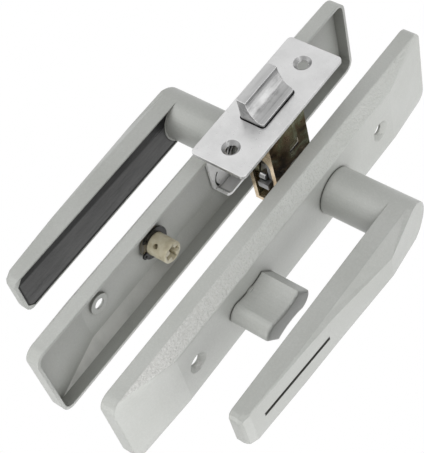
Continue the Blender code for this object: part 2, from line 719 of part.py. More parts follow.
def spring_wall(way):
    """The plate's side edge bent towards the door, round the lower corner and up past the coil."""
    corner = SPRING_PLATE_CORNER
    centre = (SPRING_PLATE_HALF_WIDTH - corner, corner - SPRING_PLATE_HALF_HEIGHT)
    inner_radius = corner - SPRING_PLATE_THICKNESS
    inner_y = SPRING_PLATE_HALF_WIDTH - SPRING_PLATE_THICKNESS
    outline = arc(corner, -LUG_WRAP, 0, 5, centre)
    outline += [(SPRING_PLATE_HALF_WIDTH, LUG_TOP), (inner_y, LUG_TOP)]
    outline += arc(inner_radius, 0, -LUG_WRAP, 5, centre)
    return prism([(way * y, z) for y, z in outline], SPRING_PLATE_TOP - LUG_HEIGHT, SPRING_PLATE_TOP)


def make_spring_plate(name, side, palette):
    outline = rounded_box(SPRING_PLATE_HALF_WIDTH, SPRING_PLATE_HALF_HEIGHT, SPRING_PLATE_CORNER)
    base = prism(outline, SPRING_PLATE_BOTTOM, SPRING_PLATE_TOP)
    plate = union(base, [spring_wall(1), spring_wall(-1)])
    levels = (SPRING_PLATE_BOTTOM - CUT_PAST, SPRING_PLATE_TOP + CUT_PAST)
    hole = prism(circle(SPRING_PLATE_HOLE), *levels)
    start, end = ARC_SLOT_ENDS
    half = ARC_SLOT_WIDTH / 2
    slot = arc(ARC_SLOT_RADIUS + half, start, end, 8, ARC_SLOT_PLACE)
    slot += arc(ARC_SLOT_RADIUS - half, end, start, 8, ARC_SLOT_PLACE)
    plate = cut_builder(plate, [hole, prism(slot, *levels)])
    return make_piece(name, plate, palette["bright_zinc"], side)


def wire_tube(path, radius, sides):
    """A round wire swept along a list of points, with closed ends."""
    sections = []
    count = len(path)
    normal = None
    for i, point in enumerate(path):
        before = path[max(i - 1, 0)]
        after = path[min(i + 1, count - 1)]
        tangent = (after - before).normalized()
        if normal is None:
            normal = tangent.orthogonal().normalized()
        normal = (normal - tangent * normal.dot(tangent)).normalized()
        binormal = tangent.cross(normal)
        section = []
        for k in range(sides):
            angle = 2 * math.pi * k / sides
            section.append(point + radius * (math.cos(angle) * normal + math.sin(angle) * binormal))
        sections.append(section)
    return loft(sections)


def make_return_spring(name, side, palette):
    steps = 16
    top = HUB_BOTTOM - RUNNING_GAP - RETURN_WIRE_RADIUS
    start = math.radians(40)
    leg = SPRING_PLATE_HALF_WIDTH - SPRING_PLATE_THICKNESS - RETURN_LEG_GAP
    path = [Vector((top, leg * math.cos(start), leg * math.sin(start)))]
    for i in range(int(RETURN_TURNS * steps) + 1):
        angle = start + 2 * math.pi * i / steps
        y = RETURN_COIL_RADIUS * math.cos(angle)
        z = RETURN_COIL_RADIUS * math.sin(angle)
        path.append(Vector((top - RETURN_PITCH * i / steps, y, z)))
    path.append(Vector((path[-1].x, path[0].y, path[0].z)))
    return make_piece(name, wire_tube(path, RETURN_WIRE_RADIUS, 6), palette["plain_steel"], side)


def make_lever_side(prefix, side, palette, release_side):
    make_lever(prefix + "_lever", side, palette)
    make_insert(prefix + "_lever_insert", side, palette)
    make_bush(prefix + "_bush", side, palette)
    make_spring_plate(prefix + "_spring_plate", side, palette)
    make_return_spring(prefix + "_return_spring", side, palette)
    if release_side:
        make_hub_disc(prefix + "_hub_disc", side, palette)
    else:
        make_lock_disc(prefix + "_lock_disc", side, palette)
    radius = SPIGOT_RADIUS - GROOVE_DEPTH + GROOVE_FLOOR_GAP
    make_clip(prefix + "_circlip", side, palette, radius, CIRCLIP_BAND, (CLIP_BOTTOM, CLIP_TOP))


def make_lever_spindle(axis, palette):
    half = LEVER_SPINDLE_SIDE / 2
    reach = DOOR_FACE + SPIGOT_END + LEVER_SPINDLE_REACH - SPINDLE_END_GAP
    bar = block((-reach, reach), (-half, half), (-half, half))
    return make_piece("lever_spindle", bar, palette["plain_steel"], axis)


# Thumb-turn, its spindle, cam and locking slide

def turn_outline(shrink):
    """Oblong with hollow sides and rounded ends, as (y, z) points."""
    half_length = TURN_HALF_LENGTH - shrink
    corner = TURN_END_ROUND - shrink / 2
    end_width = TURN_END_HALF_WIDTH - shrink
    waist = TURN_WAIST - shrink
    straight = half_length - corner
    sweep = 7
    side = [
        (waist + (end_width - waist) * (2 * t - 1) ** 2, -straight + 2 * straight * t)
        for t in [i / 8 for i in range(9)]
    ]
    inner = end_width - corner
    top = arc(corner, 0, math.pi / 2, sweep, (inner, straight))[1:]
    right = side + top
    left = [(-y, -z) for y, z in right]
    return right + left


def make_thumb_turn(side, palette):
    low = PLATE_DEPTH + RUNNING_GAP
    high = PLATE_DEPTH + TURN_PROJECTION
    sections = [[(low, y, z) for y, z in turn_outline(0.0)]]
    for step in range(4):
        turn = step / 3 * math.pi / 2
        level = high - TURN_EDGE * (1 - math.sin(turn))
        sections.append([(level, y, z) for y, z in turn_outline(TURN_EDGE * (1 - math.cos(turn)))])
    clip_low, clip_high = turn_clip_levels()
    spigot_end = clip_low - SPIGOT_LEAD
    spigot = revolve([(spigot_end, TURN_SPIGOT_RADIUS - SPIGOT_LEAD / 2),
                      (spigot_end + SPIGOT_LEAD / 2, TURN_SPIGOT_RADIUS),
                      (low + LAP, TURN_SPIGOT_RADIUS)], SMALL_ROUND)
    groove = ring(TURN_SPIGOT_RADIUS - TURN_GROOVE_DEPTH, TURN_SPIGOT_RADIUS + CUT_PAST,
                  clip_low - GROOVE_SIDE_GAP, clip_high + GROOVE_SIDE_GAP, SMALL_ROUND)
    knob = union(loft(sections), [cut_builder(spigot, [groove])])
    half = TURN_SPINDLE_SIDE / 2 + SPINDLE_CLEARANCE
    socket = block((0, high - TURN_SOCKET_END), (-half, half), (-half, half))
    knob = cut_builder(knob, [socket])
    return make_piece("thumb_turn", knob, palette["grey_paint"], side, (0, 0, -TURN_DROP))


def turn_clip_levels():
    high = WALL_IN - RUNNING_GAP
    return high - TURN_CLIP_THICKNESS, high


def make_turn_parts(side, palette):
    place = (0, 0, -TURN_DROP)
    make_thumb_turn(side, palette)
    half = TURN_SPINDLE_SIDE / 2
    spindle_end = PLATE_DEPTH + TURN_PROJECTION - TURN_SOCKET_END - SPINDLE_END_GAP
    bar = block((TURN_SPINDLE_START, spindle_end), (-half, half), (-half, half))
    make_piece("turn_spindle", bar, palette["plain_steel"], side, place)
    radius = TURN_SPIGOT_RADIUS - TURN_GROOVE_DEPTH + GROOVE_FLOOR_GAP
    make_clip("turn_circlip", side, palette, radius, TURN_CLIP_BAND, turn_clip_levels(), place=place)
    lean = -math.radians(45)
    centre = (CAM_OFFSET * math.cos(lean), CAM_OFFSET * math.sin(lean))
    cam = prism(circle(CAM_RADIUS, ROUND, centre), SLIDE_BOTTOM, SLIDE_TOP)
    gap = TURN_SPINDLE_SIDE / 2 + SPINDLE_CLEARANCE
    cam = cut_builder(cam, [block((0, PLATE_DEPTH), (-gap, gap), (-gap, gap))])
    make_piece("lock_cam", cam, palette["bright_zinc"], side, place)


def make_locking_slide(side, palette):
    lean = math.radians(45)
    rest_z = -TURN_DROP - CAM_OFFSET * math.sin(lean)
    reach = CAM_RADIUS + RUNNING_GAP
    window_y = (CAM_OFFSET * math.cos(lean) - reach, CAM_OFFSET + reach)
    window_z = (rest_z - reach, rest_z + reach)
    frame_y = (window_y[0] - SLIDE_FRAME, window_y[1] + SLIDE_FRAME)
    frame_z = (window_z[0] - SLIDE_FRAME, window_z[1] + SLIDE_FRAME)
    tip_top = -(LOCK_RING_RADIUS + RUNNING_GAP) - SLIDE_TRAVEL
    neck_top = tip_top - SLIDE_TIP_LENGTH
    half = SLIDE_WIDTH / 2
    tip = SLIDE_TIP_HALF_WIDTH
    outline = [
        (frame_y[0], frame_z[0]),
        (frame_y[1], frame_z[0]),
        (frame_y[1], frame_z[1]),
        (half, frame_z[1]),
        (half, neck_top),
        (tip, neck_top),
        (tip, tip_top),
        (-tip, tip_top),
        (-tip, neck_top),
        (-half, neck_top),
        (-half, frame_z[1]),
        (frame_y[0], frame_z[1]),
    ]
    slide = prism(outline, SLIDE_BOTTOM, SLIDE_TOP)
    window = block((SLIDE_BOTTOM - CUT_PAST, SLIDE_TOP + CUT_PAST), window_y, window_z)
    slide = cut_builder(slide, [window])
    make_piece("locking_slide", slide, palette["plain_steel"], side)
    reach_y = SLIDE_WIDTH / 2 + RUNNING_GAP + GUIDE_RIB
    top = SLIDE_BOTTOM - RUNNING_GAP - SEAT_GAP
    keeper = block((top - KEEPER_THICKNESS, top), (-reach_y, reach_y),
                   (-GUIDE_DROP - GUIDE_LENGTH / 2, -GUIDE_DROP + GUIDE_LENGTH / 2))
    make_piece("slide_keeper", keeper, palette["plain_steel"], side)


# Emergency release

def make_release(side, palette):
    place = (0, 0, -TURN_DROP)
    head_low = PLATE_DEPTH + RUNNING_GAP
    head_high = head_low + RELEASE_HEAD_THICKNESS
    rim = RELEASE_HEAD_THICKNESS / 3
    head = revolve([(head_low, RELEASE_HEAD_RADIUS), (head_high - rim, RELEASE_HEAD_RADIUS),
                    (head_high, RELEASE_HEAD_RADIUS - rim)])
    half_tail = RELEASE_TAIL_SIDE / 2
    tail_end = WALL_IN - RELEASE_TAIL_REACH
    tail = block((tail_end, head_low + rim), (-half_tail, half_tail), (-half_tail, half_tail))
    head = union(head, [tail])
    coin = block((head_high - COIN_SLOT_DEPTH, head_high + CUT_PAST),
                 (-COIN_SLOT_WIDTH / 2, COIN_SLOT_WIDTH / 2), (-COIN_SLOT_HALF_LENGTH, COIN_SLOT_HALF_LENGTH))
    head = cut_builder(head, [coin])
    make_piece("release_head", head, palette["grey_paint"], side, place)
    body_top = PLATE_DEPTH - SEAT_GAP
    flange_top = WALL_IN - RUNNING_GAP
    body = revolve([(-SOCKET_OVERHANG, SOCKET_RADIUS - SOCKET_EDGE),
                    (SOCKET_EDGE - SOCKET_OVERHANG, SOCKET_RADIUS),
                    (body_top, SOCKET_RADIUS)])
    flange = prism(circle(SOCKET_FLANGE_RADIUS), flange_top - SOCKET_FLANGE, flange_top)
    body = union(body, [flange])
    tail_gap = half_tail + SPINDLE_CLEARANCE
    tail_socket = block((tail_end - SOCKET_EDGE, PLATE_DEPTH), (-tail_gap, tail_gap), (-tail_gap, tail_gap))
    cross_levels = (-SOCKET_OVERHANG - CUT_PAST, SOCKET_CROSS_DEPTH - SOCKET_OVERHANG)
    long = (-SOCKET_CROSS_HALF_LENGTH, SOCKET_CROSS_HALF_LENGTH)
    short = (-SOCKET_CROSS_HALF_WIDTH, SOCKET_CROSS_HALF_WIDTH)
    cross = union(block(cross_levels, long, short), [block(cross_levels, short, long)])
    pin_hole = prism([(x + SOCKET_PIN_PLACE, z) for x, z in circle(SOCKET_PIN_HOLE, RIVET_SIDES)],
                     SOCKET_RADIUS / 2, 2 * SOCKET_RADIUS, "Y")
    body = cut_builder(body, [tail_socket, cross, turned_about_x(pin_hole, -SOCKET_PIN_LEAN)])
    make_piece("release_socket", body, palette["cream_socket"], side, place)
    clip_high = flange_top - SOCKET_FLANGE - SEAT_GAP
    make_clip("release_clip", side, palette, SOCKET_RADIUS + SEAT_GAP, RELEASE_CLIP_BAND,
              (clip_high - RELEASE_CLIP_THICKNESS, clip_high), RELEASE_CLIP_FACING, place)


# Mortice latch. Its own frame has Y = 0 on the forend's face.

def make_forend(latch, palette):
    outline = rounded_box(FOREND_WIDTH / 2, FOREND_HEIGHT / 2, FOREND_CORNER, 4)
    plate = prism(outline, 0, FOREND_THICKNESS, "Y")
    gap = BOLT_OPENING_GAP
    opening = rounded_box(BOLT_HALF_WIDTH + gap, BOLT_HALF_HEIGHT + gap, BOLT_CORNER + gap, 4)
    cutters = [prism(opening, -CUT_PAST, FOREND_THICKNESS + CUT_PAST, "Y")]
    for way in (-1, 1):
        centre = (0.0, way * FOREND_HOLE_SPACING / 2)
        far = -FOREND_THICKNESS - CUT_PAST
        sections = []
        for level, radius in sink_levels(FOREND_HOLE_RADIUS, FOREND_SINK_RADIUS, FOREND_SINK_DEPTH, far):
            sections.append([(a, -level, b) for a, b in circle(radius, ROUND, centre)])
        cutters.append(loft(sections))
        rivet_hole = circle(RIVET_RADIUS + RIVET_GAP, RIVET_SIDES, (0.0, way * rivet_height()))
        cutters.append(prism(rivet_hole, RIVET_SKIN, FOREND_THICKNESS + CUT_PAST, "Y"))
    make_piece("forend", cut_builder(plate, cutters), palette["bright_zinc"], latch)


def rivet_height():
    return CASE_OUT_Z + CASE_FLANGE / 2


def make_case(latch, palette):
    front = FOREND_THICKNESS + SEAT_GAP
    body = block((-CASE_IN_X, CASE_OUT_X), (front, CASE_END), (-CASE_OUT_Z, CASE_OUT_Z))
    hollow = block((-CASE_OUT_X - CUT_PAST, CASE_IN_X), (front - CUT_PAST, CASE_END - CASE_EDGE_WALL),
                   (-CASE_IN_Z, CASE_IN_Z))
    half = CASE_IN_X - CASE_WINDOW_MARGIN
    middle = CASE_WINDOW_START + half
    levels = (-CASE_OUT_Z - CUT_PAST, -CASE_IN_Z + CUT_PAST)
    window = block((-half, half), (middle, CASE_END - CASE_EDGE_WALL - CASE_WINDOW_MARGIN), levels)
    window_end = prism(circle(half, ROUND, (0.0, middle)), *levels, "Z")
    journal = prism(circle(FOLLOWER_JOURNAL + RUNNING_GAP, ROUND, (BACKSET, 0.0)), 0, CASE_OUT_X + CUT_PAST)
    body = cut_builder(body, [hollow, window, window_end, journal])
    flanges = []
    half_flange = CASE_FLANGE_WIDTH / 2
    for way in (-1, 1):
        z_range = sorted((way * (CASE_OUT_Z - 0.5 * CASE_EDGE_WALL), way * (CASE_OUT_Z + CASE_FLANGE)))
        flanges.append(block((-half_flange, half_flange), (front, front + CASE_EDGE_WALL), z_range))
    body = union(body, flanges)
    rivets = []
    for way in (-1, 1):
        rivet_hole = circle(RIVET_RADIUS + RIVET_GAP, RIVET_SIDES, (0.0, way * rivet_height()))
        rivets.append(prism(rivet_hole, 0, front + CASE_EDGE_WALL + CUT_PAST, "Y"))
    make_piece("latch_case", cut_builder(body, rivets), palette["gold_steel"], latch)
    cover = block((-CASE_OUT_X, -CASE_IN_X - COVER_GAP), (front, CASE_END), (-CASE_OUT_Z, CASE_OUT_Z))
    tab = block((-CASE_IN_X - 0.5 * CASE_SIDE_WALL, SPRING_STOP_REACH),
                (SPRING_STOP_FRONT, SPRING_STOP_FRONT + SPRING_STOP_THICKNESS),
                (-SPRING_STOP_HALF_HEIGHT, SPRING_STOP_HALF_HEIGHT))
    cover = union(cover, [tab])
    journal = prism(circle(FOLLOWER_JOURNAL + RUNNING_GAP, ROUND, (BACKSET, 0.0)), -CASE_OUT_X - CUT_PAST, 0)
    make_piece("latch_cover", cut_builder(cover, [journal]), palette["gold_steel"], latch)
    seat = front + CASE_EDGE_WALL + RIVET_GAP
    for way, label in ((1, "upper"), (-1, "lower")):
        centre = (0.0, way * rivet_height())
        shank = circle(RIVET_RADIUS, RIVET_SIDES, centre)
        shank = prism(shank, RIVET_SKIN + RIVET_GAP, seat + 0.5 * RIVET_HEAD, "Y")
        head = prism(circle(RIVET_HEAD_RADIUS, RIVET_SIDES, centre), seat, seat + RIVET_HEAD, "Y")
        make_piece(label + "_case_rivet", union(shank, [head]), palette["plain_steel"], latch)


def make_bolt(latch, palette):
    """The sprung bolt: a flat land, then a hollow ramp that falls to the inner side."""
    half = BOLT_HALF_WIDTH
    tip = -BOLT_PROJECTION
    ramp_start = (-half + BOLT_LAND, tip)
    ramp_end = (half, -BOLT_FOOT)
    steps = 10
    ramp = []
    for i in range(steps + 1):
        turn = i / steps * math.pi / 2
        x = ramp_start[0] + (ramp_end[0] - ramp_start[0]) * (1 - math.cos(turn))
        y = ramp_start[1] + (ramp_end[1] - ramp_start[1]) * math.sin(turn)
        ramp.append((x, y))
    outline = [(-half, BOLT_BODY), (-half, tip + BOLT_EDGE), (-half + BOLT_EDGE, tip)] + ramp
    outline.append((half, BOLT_BODY))
    bolt = prism(outline, -BOLT_HALF_HEIGHT, BOLT_HALF_HEIGHT, "Z")
    past = BOLT_BODY + CUT_PAST
    corners = prism(rounded_box(half, BOLT_HALF_HEIGHT, BOLT_CORNER, 4), tip - CUT_PAST, past, "Y")
    bolt = cut_builder(bolt, [corners], "INTERSECT")
    slot = block((TAIL_OFFSET - PIN_GAP, TAIL_OFFSET + TAIL_THICKNESS + PIN_GAP), (BOLT_SLOT_FRONT, past),
                 (-CASE_IN_Z, CASE_IN_Z))
    room = BOLT_SPRING_RADIUS + BOLT_SPRING_WIRE + RUNNING_GAP
    hole = prism(circle(room, SMALL_ROUND, (-BOLT_SPRING_OFFSET, 0.0)), BOLT_SPRING_SEAT, past, "Y")
    pin = circle(PIN_RADIUS + PIN_GAP, RIVET_SIDES, (PIN_Y, PIN_Z))
    pin = prism(pin, -half - CUT_PAST, half + CUT_PAST)
    make_piece("latch_bolt", cut_builder(bolt, [slot, hole, pin]), palette["bolt_zinc"], latch)
    reach = half - RUNNING_GAP
    shaft = prism(circle(PIN_RADIUS, RIVET_SIDES, (PIN_Y, PIN_Z)), -reach, reach)
    make_piece("bolt_pin", shaft, palette["plain_steel"], latch)


def make_bolt_tail(latch, palette):
    """A forked plate that runs past the follower, with an ear that the follower's arm draws back."""
    arm_y = BACKSET - FOLLOWER_ARM * math.sin(FOLLOWER_LEAN)
    ear_front = arm_y + FOLLOWER_TIP_RADIUS + RUNNING_GAP
    ear_back = ear_front + TAIL_EAR
    outer = CASE_IN_Z - RUNNING_GAP
    inner = FOLLOWER_BARREL + RUNNING_GAP
    fork = BACKSET - inner - BOLT_TRAVEL - TAIL_SHOULDER
    front = BOLT_SLOT_FRONT + RUNNING_GAP
    shoulder = BOLT_BODY + TAIL_SHOULDER
    outline = [
        (front, -outer + TAIL_SHOULDER),
        (shoulder, -outer),
        (ear_back, -outer),
        (ear_back, -inner),
        (fork, -inner),
        (fork, inner),
        (ear_back, inner),
        (ear_back, outer),
        (shoulder, outer),
        (front, outer - TAIL_SHOULDER),
    ]
    side = (TAIL_OFFSET, TAIL_OFFSET + TAIL_THICKNESS)
    plate = prism(outline, *side)
    ear_top = -(FOLLOWER_ARM * math.cos(FOLLOWER_LEAN) + COVER_GAP)
    ear_end = -(FOLLOWER_ARM + FOLLOWER_TIP_RADIUS)
    lap = TAIL_THICKNESS / 3
    ear = block((-FOLLOWER_TIP_RADIUS, side[1]), (ear_front, ear_back), (ear_end, ear_top))
    stem = block(side, (ear_front, ear_back), (ear_top - lap, -outer + lap))
    plate = union(plate, [stem, ear])
    pin = prism(circle(PIN_RADIUS + PIN_GAP, RIVET_SIDES, (PIN_Y, PIN_Z)), 0, CASE_IN_X)
    make_piece("bolt_tail", cut_builder(plate, [pin]), palette["plain_steel"], latch)


def make_bolt_spring(latch, palette):
    start = BOLT_SPRING_SEAT + RUNNING_GAP + BOLT_SPRING_WIRE
    end = SPRING_STOP_FRONT - SEAT_GAP - BOLT_SPRING_WIRE
    steps = 10
    path = []
    total = int(BOLT_SPRING_TURNS * steps)
    for i in range(total + 1):
        angle = 2 * math.pi * i / steps
        y = start + (end - start) * i / total
        x = BOLT_SPRING_RADIUS * math.cos(angle) - BOLT_SPRING_OFFSET
        path.append(Vector((x, y, BOLT_SPRING_RADIUS * math.sin(angle))))
    make_piece("bolt_spring", wire_tube(path, BOLT_SPRING_WIRE, 5), palette["plain_steel"], latch)


def make_follower(axis, palette):
    """The square-bored hub on the spindle, with the arm that draws the bolt's tail."""
    barrel = CASE_IN_X - RUNNING_GAP
    journal = CASE_OUT_X - COVER_GAP
    hub = revolve([(-journal, FOLLOWER_JOURNAL), (-barrel, FOLLOWER_JOURNAL), (-barrel, FOLLOWER_BARREL),
                   (barrel, FOLLOWER_BARREL), (barrel, FOLLOWER_JOURNAL), (journal, FOLLOWER_JOURNAL)])
    tip = FOLLOWER_TIP_RADIUS
    outline = arc(tip, math.pi, 2 * math.pi, 10, (0.0, -FOLLOWER_ARM))
    outline += [(tip, LAP - FOLLOWER_BARREL), (-tip, LAP - FOLLOWER_BARREL)]
    arm = turned_about_x(prism(outline, -FOLLOWER_ARM_WIDTH / 2, FOLLOWER_ARM_WIDTH / 2), -FOLLOWER_LEAN)
    half = LEVER_SPINDLE_SIDE / 2 + SPINDLE_CLEARANCE
    hub = union(hub, [arm])
    hub = cut_builder(hub, [block((-journal - CUT_PAST, journal + CUT_PAST), (-half, half), (-half, half))])
    make_piece("follower", hub, palette["bright_zinc"], axis)


def main():
    clear_scene()
    palette = make_palette()
    axis = make_empty("spindle_axis", (0, SPINDLE_Y, SPINDLE_Z))
    outer = make_empty("outer_side", (-DOOR_FACE, SPINDLE_Y, SPINDLE_Z), turned=True)
    inner = make_empty("inner_side", (DOOR_FACE, SPINDLE_Y, SPINDLE_Z))
    latch = make_empty("latch_frame", (0, SPINDLE_Y - BACKSET, SPINDLE_Z))
    make_backplate("outer_backplate", outer, palette, True)
    make_backplate("inner_backplate", inner, palette, False)
    make_lever_side("outer", outer, palette, True)
    make_lever_side("inner", inner, palette, False)
    make_lever_spindle(axis, palette)
    make_turn_parts(inner, palette)
    make_locking_slide(inner, palette)
    make_release(outer, palette)
    make_forend(latch, palette)
    make_case(latch, palette)
    make_bolt(latch, palette)
    make_bolt_tail(latch, palette)
    make_bolt_spring(latch, palette)
    make_follower(axis, palette)
    bpy.context.view_layer.update()


main()
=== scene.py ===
# Looks of the privacy door handle set: materials, the bolt's spring, light, floor and camera.

import json
import math

import bpy
from mathutils import Matrix, Vector


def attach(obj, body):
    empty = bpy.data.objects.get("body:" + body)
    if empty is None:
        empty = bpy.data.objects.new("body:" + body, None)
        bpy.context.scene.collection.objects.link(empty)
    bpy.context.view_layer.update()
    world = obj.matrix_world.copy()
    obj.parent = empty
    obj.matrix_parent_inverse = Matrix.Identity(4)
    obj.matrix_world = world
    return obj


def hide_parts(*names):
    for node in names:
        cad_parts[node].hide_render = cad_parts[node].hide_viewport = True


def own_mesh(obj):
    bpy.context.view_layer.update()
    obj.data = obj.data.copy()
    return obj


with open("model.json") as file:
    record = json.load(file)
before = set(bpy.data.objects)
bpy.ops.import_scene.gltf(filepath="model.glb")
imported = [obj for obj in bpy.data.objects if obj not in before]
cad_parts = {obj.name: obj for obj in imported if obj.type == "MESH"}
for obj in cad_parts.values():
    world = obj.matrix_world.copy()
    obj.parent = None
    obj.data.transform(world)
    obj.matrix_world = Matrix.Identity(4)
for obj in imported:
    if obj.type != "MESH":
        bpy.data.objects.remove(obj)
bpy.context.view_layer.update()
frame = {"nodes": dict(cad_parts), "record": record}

NODES = frame["nodes"]

# Camera: where it stands, what it looks at, and how far it is rolled over
CAMERA_PLACE = Vector((0.2215, -0.3793, -0.1877))
CAMERA_AIM = Vector((0.0009, 0.0010, -0.0161))
CAMERA_ROLL = math.radians(39.49)
CAMERA_LENS_MM = 98.98
CAMERA_SENSOR_MM = 36.0
CAMERA_NEAREST = 0.01

# Room and floor
FLOOR_HEIGHT = -0.36
FLOOR_SIZE = 60.0
FLOOR_WHITENESS = 0.7
ROOM_LEVEL = 0.38
PALE = (0.93, 0.93, 0.92)
WHITE = (1.0, 1.0, 1.0, 1.0)

# Lamps, as directions right, up and towards the camera, with distance, size and power
LAMPS = (
    ("side_lamp", (0.80, -0.42, 0.42), 1.3, 1.6, 8.2),
    ("back_lamp", (0.55, -0.82, -0.05), 1.1, 1.0, 3.8),
    ("camera_lamp", (0.20, 0.20, 0.96), 1.2, 0.5, 2.4),
    ("bevel_lamp", (0.75, -0.30, 0.52), 0.54, 0.15, 0.12),
    ("low_lamp", (-0.59, -0.72, 0.36), 0.32, 0.2, 0.22),
    ("front_lamp", (-0.81, 0.30, 0.50), 0.5, 0.7, 1.2),
    ("top_lamp", (0.70, 0.65, -0.28), 1.2, 0.8, 2.4),
)

# The slot near each lever's tip, in metres, as all lengths and places here are
SPINDLE_Y = 0.0137
SLOT_MIDDLE_Z = -0.0465
SLOT_HALF_LENGTH = 0.0187
SLOT_HALF_WIDTH = 0.00105

# The levers' inserts, their shaded band's width at the low and the high end, and where in it it fades
INSERT_NEAR_Y = 0.0045
INSERT_FAR_Y = 0.0229
INSERT_LOW_Z = -0.0742
INSERT_HIGH_Z = 0.0218
INSERT_BAND_LOW = 0.0034
INSERT_BAND_HIGH = 0.0058
INSERT_BAND_FADES = 0.75

# The inserts' dark lines of painted shade: how far from the far rim and the foot they begin and are full
INSERT_RIM_BEGINS = 0.0011
INSERT_RIM_FULL = 0.0006
INSERT_FOOT_BEGINS = 0.0009
INSERT_FOOT_FULL = 0.0005

# The plates' bevels: how slanted a face counts as one, and where their painted sparkle highlight and
# painted streak highlight begin and are full
BEVEL_BEGINS = 0.38
BEVEL_FULL = 0.45
HIGHLIGHT_BEGINS_Z = -0.01
HIGHLIGHT_FULL_Z = -0.075

# The tab stamped out of the latch case's side, the gap beside it where shadow is painted, and how soft
# their edges are
TAB_Y = (-0.0022, 0.0004)
TAB_GAP_Y = (0.0004, 0.0016)
TAB_Z = (0.0275, 0.0330)
TAB_SOFTNESS = 0.00025

# Where the foot of the bolt's ramp darkens, and where the release socket's flange ends
RAMP_FOOT_BEGINS_X = 0.0012
RAMP_FOOT_FULL_X = 0.0052
SOCKET_FLANGE_X = -0.0217

# Edges, narrow gaps and hollows: the rays sent round a point to find them, what these measure where
# the mask is 0 and where it is full, and how strong the hollows' mask gets. Gaps and hollows get painted
# shade through these masks, edges painted highlights
EDGE_SAMPLES = 6
EDGE_NONE = 0.99
EDGE_FULL = 0.85
CREVICE_SAMPLES = 8
CREVICE_NONE = 0.8
CREVICE_FULL = 0.25
HOLLOW_SAMPLES = 16
HOLLOW_NONE = 0.95
HOLLOW_FULL = 0.35
HOLLOW_MOST = 0.7

# The range in which most of a noise texture lies
NOISE_LOW = 0.3
NOISE_HIGH = 0.7

# The mix node's sockets for colours
MIX_FACTOR, MIX_FIRST, MIX_SECOND = 0, 6, 7
MIX_RESULT = 2


# Node helpers

